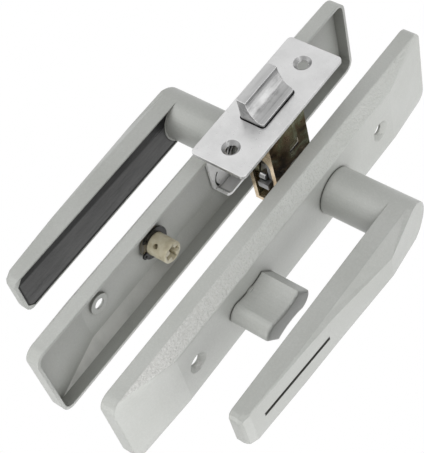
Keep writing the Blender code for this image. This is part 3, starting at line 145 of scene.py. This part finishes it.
class Recipe:
    """A node material, built from its Principled shader outwards."""

    def __init__(self, name, colour, roughness, metallic):
        self.material = bpy.data.materials.new(name)
        self.material.use_nodes = True
        self.nodes = self.material.node_tree.nodes
        self.links = self.material.node_tree.links
        self.shader = self.nodes["Principled BSDF"]
        self.shader.inputs["Base Color"].default_value = (*colour, 1.0)
        self.shader.inputs["Roughness"].default_value = roughness
        self.shader.inputs["Metallic"].default_value = metallic
        where = self.nodes.new("ShaderNodeTexCoord")
        self.place = where.outputs["Object"]
        self.facing = where.outputs["Normal"]
        self.normal = None

    def join(self, source, target):
        self.links.new(source, target)

    def bevel(self, radius):
        """The normals that edges rounded to this radius would have."""
        node = self.nodes.new("ShaderNodeBevel")
        node.samples = EDGE_SAMPLES
        node.inputs["Radius"].default_value = radius
        return node.outputs["Normal"]

    def rounded(self, radius):
        """Shade sharp edges as if they were rounded to this radius."""
        self.normal = self.bevel(radius)
        self.join(self.normal, self.shader.inputs["Normal"])

    def edges(self, radius):
        """1 along sharp edges, 0 on open faces: where painted edge highlights go."""
        rounded = self.bevel(radius)
        geometry = self.nodes.new("ShaderNodeNewGeometry")
        product = self.nodes.new("ShaderNodeVectorMath")
        product.operation = "DOT_PRODUCT"
        self.join(rounded, product.inputs[0])
        self.join(geometry.outputs["Normal"], product.inputs[1])
        return self.spread(product.outputs["Value"], EDGE_NONE, EDGE_FULL, 0.0, 1.0)

    def crevice_shade(self, reach):
        """1 in narrow gaps and inner corners, 0 in the open: where painted shade goes."""
        node = self.nodes.new("ShaderNodeAmbientOcclusion")
        node.samples = CREVICE_SAMPLES
        node.inputs["Distance"].default_value = reach
        return self.spread(node.outputs["AO"], CREVICE_FULL, CREVICE_NONE, 1.0, 0.0)

    def hollow(self, reach):
        """Rises to HOLLOW_MOST deep inside the piece's own hollows, 0 on its outer faces: where painted
        shade goes.
        """
        node = self.nodes.new("ShaderNodeAmbientOcclusion")
        node.samples = HOLLOW_SAMPLES
        node.only_local = True
        node.inputs["Distance"].default_value = reach
        return self.spread(node.outputs["AO"], HOLLOW_FULL, HOLLOW_NONE, HOLLOW_MOST, 0.0)

    def part_of(self, vector, axis):
        split = self.nodes.new("ShaderNodeSeparateXYZ")
        self.join(vector, split.inputs["Vector"])
        return split.outputs[axis]

    def faces_down(self, axis, begins, full, most=1.0):
        """Rises to most on faces that look against this axis."""
        return self.spread(self.part_of(self.facing, axis), begins, full, 0.0, most)

    def sums(self, operation, first, second=0.0):
        node = self.nodes.new("ShaderNodeMath")
        node.operation = operation
        for socket, value in zip(node.inputs, (first, second)):
            if hasattr(value, "is_linked"):
                self.join(value, socket)
            else:
                socket.default_value = value
        return node.outputs["Value"]

    def times(self, first, second):
        return self.sums("MULTIPLY", first, second)

    def from_middle(self, axis, middle):
        """The distance along an axis from a plane."""
        return self.sums("ABSOLUTE", self.sums("SUBTRACT", self.part_of(self.place, axis), middle))

    def window(self, y_range, z_range):
        """1 inside a soft-edged rectangle of the YZ plane."""
        inside = 1.0
        for axis, (low, high) in (("Y", y_range), ("Z", z_range)):
            value = self.part_of(self.place, axis)
            rising = self.spread(value, low - TAB_SOFTNESS, low + TAB_SOFTNESS, 0.0, 1.0)
            falling = self.spread(value, high - TAB_SOFTNESS, high + TAB_SOFTNESS, 1.0, 0.0)
            inside = self.times(self.times(rising, falling), inside)
        return inside

    def stretched(self, scale):
        mapping = self.nodes.new("ShaderNodeMapping")
        mapping.inputs["Scale"].default_value = scale
        self.join(self.place, mapping.inputs["Vector"])
        return mapping.outputs["Vector"]

    def noise(self, scale, detail=2.0, rough=0.5, place=None, distortion=0.0):
        texture = self.nodes.new("ShaderNodeTexNoise")
        texture.inputs["Scale"].default_value = scale
        texture.inputs["Detail"].default_value = detail
        texture.inputs["Roughness"].default_value = rough
        texture.inputs["Distortion"].default_value = distortion
        self.join(place or self.place, texture.inputs["Vector"])
        return texture.outputs["Fac"]

    def cells(self, scale):
        texture = self.nodes.new("ShaderNodeTexVoronoi")
        texture.feature = "SMOOTH_F1"
        texture.inputs["Scale"].default_value = scale
        self.join(self.place, texture.inputs["Vector"])
        return texture.outputs["Distance"]

    def spread(self, source, low, high, to_low, to_high):
        """The source, where low becomes to_low and high becomes to_high."""
        span = self.nodes.new("ShaderNodeMapRange")
        values = {"From Min": low, "From Max": high, "To Min": to_low, "To Max": to_high}
        for label, value in values.items():
            span.inputs[label].default_value = value
        self.join(source, span.inputs["Value"])
        return span.outputs["Result"]

    def ramp(self, source, stops):
        """Colours that follow the source, from (position, colour) stops."""
        node = self.nodes.new("ShaderNodeValToRGB")
        elements = node.color_ramp.elements
        elements[0].position = stops[0][0]
        elements[1].position = stops[-1][0]
        for position, _ in stops[1:-1]:
            elements.new(position)
        for element, (_, colour) in zip(elements, stops):
            element.color = (*colour, 1.0)
        self.join(source, node.inputs["Fac"])
        return node.outputs["Color"]

    def mixed(self, factor, first, second, kind="MIX"):
        mix = self.nodes.new("ShaderNodeMix")
        mix.data_type = "RGBA"
        mix.blend_type = kind
        for index, value in ((MIX_FACTOR, factor), (MIX_FIRST, first), (MIX_SECOND, second)):
            if hasattr(value, "is_linked"):
                self.join(value, mix.inputs[index])
            elif isinstance(value, tuple):
                mix.inputs[index].default_value = (*value, 1.0)
            else:
                mix.inputs[index].default_value = value
        return mix.outputs[MIX_RESULT]

    def colour(self, source):
        self.join(source, self.shader.inputs["Base Color"])

    def rough(self, source, at_low, at_high):
        """Roughness that follows a noise, from its level at a low value to that at a high one."""
        level = self.spread(source, NOISE_LOW, NOISE_HIGH, at_low, at_high)
        self.join(level, self.shader.inputs["Roughness"])

    def bump(self, source, strength, depth):
        node = self.nodes.new("ShaderNodeBump")
        node.inputs["Strength"].default_value = strength
        node.inputs["Distance"].default_value = depth
        self.join(source, node.inputs["Height"])
        if self.normal:
            self.join(self.normal, node.inputs["Normal"])
        self.normal = node.outputs["Normal"]
        self.join(self.normal, self.shader.inputs["Normal"])


def grey(level, warmth=0.0):
    return (level, level, level * (1 - warmth))


# Materials

def paint_material(name="grey_paint_coat", slotted=False):
    """Baked grey paint on a casting: orange-peel skin, mottling, flecks, grainy bevels; painted shade in
    hollows and crevices, painted highlights on the plates' bevels.
    """
    recipe = Recipe(name, grey(0.42, 0.06), roughness=0.32, metallic=0.1)
    mottle = recipe.noise(scale=38.0, detail=3.0, rough=0.55)
    speckle = recipe.noise(scale=1500.0, detail=2.0, rough=0.6)
    base = recipe.ramp(mottle, ((0.32, (0.438, 0.448, 0.424)), (0.68, (0.475, 0.484, 0.464))))
    flecks = recipe.ramp(speckle, ((0.3, grey(0.94)), (0.6, grey(1.0)), (0.78, grey(1.08))))
    coat = recipe.mixed(1.0, base, flecks, "MULTIPLY")
    # Painted shade: the paint darkens deep in the piece's own hollows, where shade falls
    coat = recipe.mixed(recipe.hollow(reach=0.02), coat, grey(0.11, 0.15))
    if slotted:
        # The levers get a darker copy of the plates' paint as painted shade, and black painted shade on
        # their slots' walls
        coat = recipe.mixed(1.0, coat, grey(0.93), "MULTIPLY")
        coat = recipe.mixed(slot_shade_walls(recipe), coat, grey(0.006))
    else:
        outer_bevel, inner_bevel = bevels(recipe)
        coat = bevel_highlights(recipe, coat, outer_bevel, inner_bevel)
    # Painted shade in narrow gaps and inner corners
    recipe.colour(recipe.mixed(recipe.crevice_shade(reach=0.0022), coat, grey(0.12, 0.15)))
    recipe.rough(recipe.noise(scale=150.0, detail=3.0), 0.34, 0.46)
    recipe.rounded(radius=0.0006)
    recipe.bump(recipe.noise(scale=700.0, detail=1.0, rough=0.4), strength=0.25, depth=0.0002)
    if not slotted:
        grains = recipe.noise(scale=900.0, detail=2.0, rough=0.6)
        recipe.bump(recipe.times(outer_bevel, grains), strength=0.8, depth=0.0008)
    recipe.shader.inputs["Coat Weight"].default_value = 0.3
    recipe.shader.inputs["Coat Roughness"].default_value = 0.35
    return recipe.material


def bevels(recipe):
    """Masks of the plates' long bevels: those of the outside, and those of the hollow."""
    across = recipe.part_of(recipe.facing, "X")
    product = recipe.times(across, recipe.part_of(recipe.facing, "Y"))
    slanted = recipe.spread(recipe.sums("ABSOLUTE", product), BEVEL_BEGINS, BEVEL_FULL, 0.0, 1.0)
    outwards = recipe.times(across, recipe.part_of(recipe.place, "X"))
    outer = recipe.times(slanted, recipe.sums("GREATER_THAN", outwards, 0.0))
    inner = recipe.times(slanted, recipe.sums("LESS_THAN", outwards, 0.0))
    return outer, inner


def bevel_highlights(recipe, coat, outer_bevel, inner_bevel):
    """The coat, with a lighter painted sparkle highlight low down on the outer bevels and a light
    painted highlight streak in the hollow's.
    """
    low_down = recipe.spread(recipe.part_of(recipe.place, "Z"), HIGHLIGHT_BEGINS_Z, HIGHLIGHT_FULL_Z, 0.0, 1.0)
    grains = recipe.noise(scale=1300.0, detail=2.0, rough=0.6)
    painted_sparkle = recipe.ramp(grains, ((0.36, grey(0.46, 0.04)), (0.68, grey(0.6, 0.03))))
    # Painted highlight: lighter grains low down on the outer bevels
    coat = recipe.mixed(recipe.times(outer_bevel, low_down), coat, painted_sparkle)
    sheen = recipe.spread(recipe.noise(scale=120.0, detail=3.0), 0.35, 0.65, 0.45, 1.0)
    # Painted highlight: a light streak low down on the hollow's bevels
    streak = recipe.times(recipe.times(inner_bevel, low_down), sheen)
    return recipe.mixed(streak, coat, grey(0.6, 0.04))


def slot_shade_walls(recipe):
    """1 on the walls of a lever's slot and at its very rim, where black painted shade goes."""
    across = recipe.from_middle("Y", SPINDLE_Y)
    along = recipe.from_middle("Z", SLOT_MIDDLE_Z)
    inside = recipe.sums("LESS_THAN", across, SLOT_HALF_WIDTH)
    return recipe.times(inside, recipe.sums("LESS_THAN", along, SLOT_HALF_LENGTH))


def insert_material():
    """Dark moulded plastic with a fine grain and a slightly polished, uneven surface, with painted shade
    along its edges and in crevices.
    """
    recipe = Recipe("dark_insert_plastic", grey(0.035), roughness=0.4, metallic=0.0)
    lengthways = recipe.stretched((1.0, 3.0, 0.5))
    streaks = recipe.noise(scale=90.0, detail=5.0, rough=0.65, place=lengthways)
    recipe.shader.inputs["Specular IOR Level"].default_value = 0.22
    body = recipe.ramp(streaks, ((NOISE_LOW, grey(0.045)), (NOISE_HIGH, grey(0.115))))
    # Painted shade: a dark band along the near side and dark lines at the far rim and the foot
    body = recipe.mixed(insert_painted_shade(recipe), body, grey(0.005))
    # Painted shade in narrow gaps and inner corners
    recipe.colour(recipe.mixed(recipe.crevice_shade(reach=0.0014), body, grey(0.004)))
    recipe.rough(streaks, 0.24, 0.5)
    recipe.rounded(radius=0.0003)
    recipe.bump(recipe.cells(scale=1100.0), strength=0.4, depth=0.00014)
    recipe.bump(recipe.noise(scale=260.0, detail=3.0), strength=0.4, depth=0.00025)
    return recipe.material


def insert_painted_shade(recipe):
    """1 in an insert's band of painted shade along its near side and on its dark lines of painted shade:
    the far rim and the foot.
    """
    y = recipe.part_of(recipe.place, "Y")
    z = recipe.part_of(recipe.place, "Z")
    near = recipe.sums("SUBTRACT", y, INSERT_NEAR_Y)
    width = recipe.spread(z, INSERT_LOW_Z, INSERT_HIGH_Z, INSERT_BAND_LOW, INSERT_BAND_HIGH)
    band = recipe.spread(recipe.sums("DIVIDE", near, width), INSERT_BAND_FADES, 1.0, 1.0, 0.0)
    rim = recipe.spread(y, INSERT_FAR_Y - INSERT_RIM_BEGINS, INSERT_FAR_Y - INSERT_RIM_FULL, 0.0, 1.0)
    foot = recipe.spread(z, INSERT_LOW_Z + INSERT_FOOT_BEGINS, INSERT_LOW_Z + INSERT_FOOT_FULL, 0.0, 1.0)
    return recipe.sums("MAXIMUM", recipe.sums("MAXIMUM", band, rim), foot)


def bright_material(name="bright_zinc_plate", metallic=1.0, level=0.6):
    """Zinc plate, tumbled: fine sparkle, faint rolling lines, cloudy patches, and painted shade on the
    countersinks' slanted faces and in crevices.
    """
    recipe = Recipe(name, grey(level), 0.32, metallic)
    cloud = recipe.noise(scale=70.0, detail=4.0, rough=0.6)
    plate = recipe.ramp(cloud, ((NOISE_LOW, grey(level)), (NOISE_HIGH, grey(level + 0.12))))
    towards_y = recipe.sums("ABSOLUTE", recipe.part_of(recipe.facing, "Y"))
    not_side = recipe.spread(towards_y, 0.5, 0.6, 0.0, 1.0)
    not_front = recipe.spread(towards_y, 0.8, 0.9, 1.0, 0.0)
    countersink_shade = recipe.times(not_side, not_front)
    # Painted shade: faces slanted across Y, as in the countersinks, are darkened
    plate = recipe.mixed(countersink_shade, plate, grey(0.3))
    # Painted shade in narrow gaps and inner corners
    recipe.colour(recipe.mixed(recipe.crevice_shade(reach=0.0012), plate, grey(0.12)))
    recipe.rough(recipe.noise(scale=420.0, detail=4.0, rough=0.65), 0.24, 0.46)
    recipe.rounded(radius=0.0003)
    recipe.bump(recipe.noise(scale=1500.0, detail=3.0, rough=0.6), strength=0.35, depth=0.0001)
    rolling = recipe.noise(scale=900.0, place=recipe.stretched((6.0, 1.0, 0.25)))
    recipe.bump(rolling, strength=0.15, depth=0.00006)
    return recipe.material


def bolt_material():
    """Die-cast zinc, barrel polished: satin, with a cast skin and polishing lines; painted highlights on
    faces looking against Y and on edges, painted shade at the ramp's foot, on faces looking down and in
    crevices.
    """
    recipe = Recipe("die_cast_zinc", grey(0.42), roughness=0.3, metallic=1.0)
    lengthways = recipe.stretched((1.0, 1.0, 0.12))
    lines = recipe.noise(scale=260.0, detail=4.0, rough=0.6, place=lengthways)
    smears = recipe.stretched((1.0, 1.0, 0.5))
    patches = recipe.noise(scale=150.0, detail=4.0, rough=0.7, place=smears, distortion=0.6)
    skin = recipe.sums("ADD", recipe.times(lines, 0.45), recipe.times(patches, 0.55))
    cast = recipe.ramp(skin, ((0.34, grey(0.22)), (0.48, grey(0.38)), (0.66, grey(0.5))))
    across = recipe.part_of(recipe.place, "X")
    # Painted shade: the ramp darkens towards its foot
    ramp_foot = recipe.spread(across, RAMP_FOOT_BEGINS_X, RAMP_FOOT_FULL_X, 0.0, 0.65)
    cast = recipe.mixed(ramp_foot, cast, grey(0.17))
    # Painted highlight: faces that look against Y are lighter
    front = recipe.faces_down("Y", begins=-0.9, full=-0.99, most=0.5)
    cast = recipe.mixed(front, cast, grey(0.62))
    # Painted shade: faces that look down are darkened, keeping the polishing lines
    end = recipe.faces_down("Z", begins=-0.8, full=-0.95, most=0.8)
    cast = recipe.mixed(end, cast, recipe.ramp(lines, ((0.35, grey(0.06)), (0.65, grey(0.3)))))
    # Painted highlight: sharp edges are lighter
    edge_highlit = recipe.mixed(recipe.edges(radius=0.0004), cast, grey(0.72))
    # Painted shade in narrow gaps and inner corners
    recipe.colour(recipe.mixed(recipe.crevice_shade(reach=0.001), edge_highlit, grey(0.05)))
    recipe.rough(lines, 0.24, 0.42)
    recipe.rounded(radius=0.0005)
    recipe.bump(recipe.noise(scale=700.0, detail=3.0, rough=0.55), strength=0.3, depth=0.00012)
    return recipe.material


def gold_material():
    """Yellow passivated zinc on sheet steel: a film of brown, olive and rose, darkened as painted
    reflection, and painted light on faces that look down or against Y.
    """
    recipe = Recipe("passivated_steel", (0.62, 0.46, 0.24), roughness=0.22, metallic=0.8)
    drift = recipe.noise(scale=75.0, detail=3.0, rough=0.55, distortion=1.2)
    # The film's tints are real, darkened as painted reflection of dark surroundings
    film = (
        (0.34, (0.035, 0.025, 0.018)),
        (0.42, (0.110, 0.075, 0.038)),
        (0.48, (0.220, 0.150, 0.080)),
        (0.53, (0.210, 0.195, 0.100)),
        (0.60, (0.380, 0.390, 0.270)),
        (0.70, (0.290, 0.180, 0.140)),
    )
    # Painted light: faces that look down or against Y get bright gold in place of the film
    under = recipe.faces_down("Z", begins=-0.6, full=-0.9)
    ends = recipe.faces_down("Y", begins=-0.6, full=-0.9)
    lit_tone = recipe.noise(scale=160.0, detail=3.0)
    painted_lit_faces = recipe.ramp(lit_tone, ((0.35, (0.55, 0.41, 0.25)), (0.65, (0.86, 0.71, 0.5))))
    gold = recipe.mixed(recipe.sums("MAXIMUM", under, ends), recipe.ramp(drift, film), painted_lit_faces)
    # Painted light and shadow: the tab's face gets one flat lighter tone, the gap beside it painted
    # shadow
    tab = recipe.window(TAB_Y, TAB_Z)
    gold = recipe.mixed(tab, gold, (0.30, 0.27, 0.17))
    gold = recipe.mixed(recipe.window(TAB_GAP_Y, TAB_Z), gold, (0.02, 0.018, 0.012))
    # Painted highlight: sharp edges are lighter
    edge_highlit = recipe.mixed(recipe.edges(radius=0.0003), gold, (0.86, 0.72, 0.52))
    # Painted shade in narrow gaps and inner corners
    recipe.colour(recipe.mixed(recipe.crevice_shade(reach=0.001), edge_highlit, (0.02, 0.014, 0.01)))
    recipe.bump(tab, strength=1.0, depth=0.0004)
    recipe.rough(recipe.noise(scale=300.0, detail=3.0), 0.14, 0.3)
    rolling = recipe.noise(scale=900.0, place=recipe.stretched((1.0, 0.2, 1.0)))
    recipe.bump(rolling, strength=0.12, depth=0.00006)
    return recipe.material


def steel_material():
    """Plain steel, oiled: drawn lines along the part and a few darker spots."""
    recipe = Recipe("plain_steel_surface", grey(0.45), roughness=0.3, metallic=1.0)
    spots = recipe.noise(scale=240.0, detail=4.0, rough=0.65)
    drawn = recipe.ramp(spots, ((0.28, grey(0.2, 0.05)), (0.45, grey(0.34)), (0.7, grey(0.44))))
    # Painted shade in narrow gaps and inner corners
    recipe.colour(recipe.mixed(recipe.crevice_shade(reach=0.001), drawn, grey(0.04)))
    recipe.rough(spots, 0.32, 0.5)
    lines = recipe.noise(scale=1200.0, place=recipe.stretched((0.2, 1.0, 1.0)))
    recipe.bump(lines, strength=0.2, depth=0.00006)
    return recipe.material


def socket_material():
    """Cream-coloured casting with a satin skin, random grime, and painted shade in the low places and on
    the part past the flange.
    """
    recipe = Recipe("cream_casting", (0.68, 0.62, 0.46), roughness=0.38, metallic=0.0)
    grime = recipe.noise(scale=300.0, detail=4.0, rough=0.6)
    stops = ((0.3, (0.56, 0.50, 0.35)), (0.46, (0.68, 0.62, 0.45)), (0.7, (0.78, 0.73, 0.58)))
    # Painted shade: the part past the flange is darkened
    shaded_behind = recipe.sums("LESS_THAN", recipe.part_of(recipe.place, "X"), SOCKET_FLANGE_X)
    cream = recipe.mixed(shaded_behind, recipe.ramp(grime, stops), (0.12, 0.11, 0.09))
    # Painted shade in narrow gaps and inner corners
    recipe.colour(recipe.mixed(recipe.crevice_shade(reach=0.0016), cream, (0.3, 0.25, 0.15)))
    recipe.rough(grime, 0.5, 0.32)
    recipe.rounded(radius=0.0003)
    recipe.bump(recipe.noise(scale=1300.0, detail=3.0, rough=0.55), strength=0.35, depth=0.0001)
    return recipe.material


def clip_material():
    """Black spring steel with an oily, faintly blotched finish."""
    recipe = Recipe("black_spring_steel", grey(0.02), roughness=0.3, metallic=0.7)
    blotch = recipe.noise(scale=500.0, detail=3.0)
    recipe.colour(recipe.ramp(blotch, ((NOISE_LOW, grey(0.012)), (NOISE_HIGH, grey(0.045)))))
    recipe.rough(blotch, 0.22, 0.42)
    recipe.bump(recipe.noise(scale=1600.0), strength=0.2, depth=0.00005)
    return recipe.material


def nylon_material():
    """Off-white moulded nylon with a faint flow pattern."""
    recipe = Recipe("natural_nylon", grey(0.66, 0.05), roughness=0.45, metallic=0.0)
    flow = recipe.noise(scale=120.0, detail=3.0, distortion=0.8)
    recipe.colour(recipe.ramp(flow, ((NOISE_LOW, grey(0.6, 0.07)), (NOISE_HIGH, grey(0.72, 0.04)))))
    recipe.rough(flow, 0.38, 0.55)
    recipe.bump(recipe.noise(scale=1000.0), strength=0.15, depth=0.00005)
    return recipe.material


def dress_nodes():
    """Gives every CAD node its material, and returns the materials by slot."""
    looks = {
        "grey_paint": paint_material(),
        "dark_insert": insert_material(),
        "bright_zinc": bright_material(),
        "bolt_zinc": bolt_material(),
        "gold_steel": gold_material(),
        "plain_steel": steel_material(),
        "cream_socket": socket_material(),
        "black_steel": clip_material(),
        "nylon": nylon_material(),
    }
    # Painted light: the spring plates get a lighter, less metallic copy of the zinc plate, to read as
    # lit where they sit in the dark hollow
    lit_spring_plate_look = bright_material("lightened_dull_zinc_plate", metallic=0.2, level=0.78)
    # The levers' paint is a darker copy, painted shade, with black painted shade in their slots
    shaded_lever_look = paint_material("shaded_grey_paint_coat_on_levers", slotted=True)
    for subpart in frame["record"]["subparts"]:
        look = looks[subpart["material_slot"]]
        if subpart["node"].endswith("spring_plate"):
            look = lit_spring_plate_look
        if subpart["node"].endswith("_lever"):
            look = shaded_lever_look
        mesh = NODES[subpart["node"]].data
        mesh.materials.clear()
        mesh.materials.append(look)
    return looks


def add_to_scene(name, data):
    thing = bpy.data.objects.new(name, data)
    bpy.context.scene.collection.objects.link(thing)
    return thing


def make_bolt_spring(look):
    """The bolt's coil, as a copy of its CAD piece with its own mesh, held to the door's fixed body."""
    node = NODES["bolt_spring"]
    coil = add_to_scene("bolt_spring_coil", node.data.copy())
    coil.matrix_world = node.matrix_world.copy()
    coil.data.materials.clear()
    coil.data.materials.append(look)
    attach(coil, "door_fixed")
    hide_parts("bolt_spring")
    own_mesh(coil)


# Room, lamps and camera

def camera_turn():
    looking = (CAMERA_AIM - CAMERA_PLACE).to_track_quat("-Z", "Y")
    return looking.to_matrix() @ Matrix.Rotation(CAMERA_ROLL, 3, "Z")


def make_camera():
    data = bpy.data.cameras.new("photo_camera")
    data.sensor_width = CAMERA_SENSOR_MM
    data.lens = CAMERA_LENS_MM
    data.clip_start = CAMERA_NEAREST
    camera = add_to_scene("photo_camera", data)
    camera.location = CAMERA_PLACE
    camera.rotation_euler = camera_turn().to_euler()
    bpy.context.scene.camera = camera


def make_lamps():
    turn = camera_turn()
    for name, direction, distance, size, power in LAMPS:
        data = bpy.data.lights.new(name, "AREA")
        data.shape = "DISK"
        data.size = size
        data.energy = power
        lamp = add_to_scene(name, data)
        away = (turn @ Vector(direction)).normalized()
        lamp.location = away * distance
        lamp.rotation_euler = away.to_track_quat("Z", "Y").to_euler()


def seen_rays(nodes, links):
    """1 for what the camera, gloss and glass see."""
    path = nodes.new("ShaderNodeLightPath")
    total = path.outputs["Is Camera Ray"]
    for label in ("Is Glossy Ray", "Is Transmission Ray"):
        either = nodes.new("ShaderNodeMath")
        either.operation = "MAXIMUM"
        links.new(total, either.inputs[0])
        links.new(path.outputs[label], either.inputs[1])
        total = either.outputs["Value"]
    return total


def mix_shaders(nodes, links, factor, first, second, target):
    """Sends a mix of two shaders to the target, all of the second where the factor is 1."""
    mix = nodes.new("ShaderNodeMixShader")
    for socket, source in zip(mix.inputs, (factor, first, second)):
        links.new(source, socket)
    links.new(mix.outputs["Shader"], target)


def make_room():
    """Even light from all round. What the camera, gloss and glass see of the room is white."""
    world = bpy.data.worlds.new("pale_room")
    world.use_nodes = True
    bpy.context.scene.world = world
    nodes = world.node_tree.nodes
    links = world.node_tree.links
    nodes.clear()
    output = nodes.new("ShaderNodeOutputWorld")
    seen = nodes.new("ShaderNodeBackground")
    lit = nodes.new("ShaderNodeBackground")
    for background, strength in ((seen, 1.0), (lit, ROOM_LEVEL)):
        background.inputs["Color"].default_value = WHITE
        background.inputs["Strength"].default_value = strength
    rays = seen_rays(nodes, links)
    surface = output.inputs["Surface"]
    mix_shaders(nodes, links, rays, lit.outputs["Background"], seen.outputs["Background"], surface)


def make_floor():
    """A wide pale floor. What the camera, gloss and glass see of it is mostly white."""
    half = FLOOR_SIZE / 2
    mesh = bpy.data.meshes.new("floor")
    corners = [(x * half, y * half, FLOOR_HEIGHT) for x, y in ((-1, -1), (1, -1), (1, 1), (-1, 1))]
    mesh.from_pydata(corners, [], [(0, 1, 2, 3)])
    floor = add_to_scene("floor", mesh)
    recipe = Recipe("pale_floor", PALE, roughness=0.8, metallic=0.0)
    glow = recipe.nodes.new("ShaderNodeEmission")
    glow.inputs["Strength"].default_value = 1.0
    whiteness = recipe.times(seen_rays(recipe.nodes, recipe.links), FLOOR_WHITENESS)
    plain = recipe.shader.outputs["BSDF"]
    surface = recipe.nodes["Material Output"].inputs["Surface"]
    mix_shaders(recipe.nodes, recipe.links, whiteness, plain, glow.outputs["Emission"], surface)
    mesh.materials.append(recipe.material)


looks = dress_nodes()
make_bolt_spring(looks["plain_steel"])
make_camera()
make_lamps()
make_room()
make_floor()
bpy.context.scene.view_settings.view_transform = "Standard"
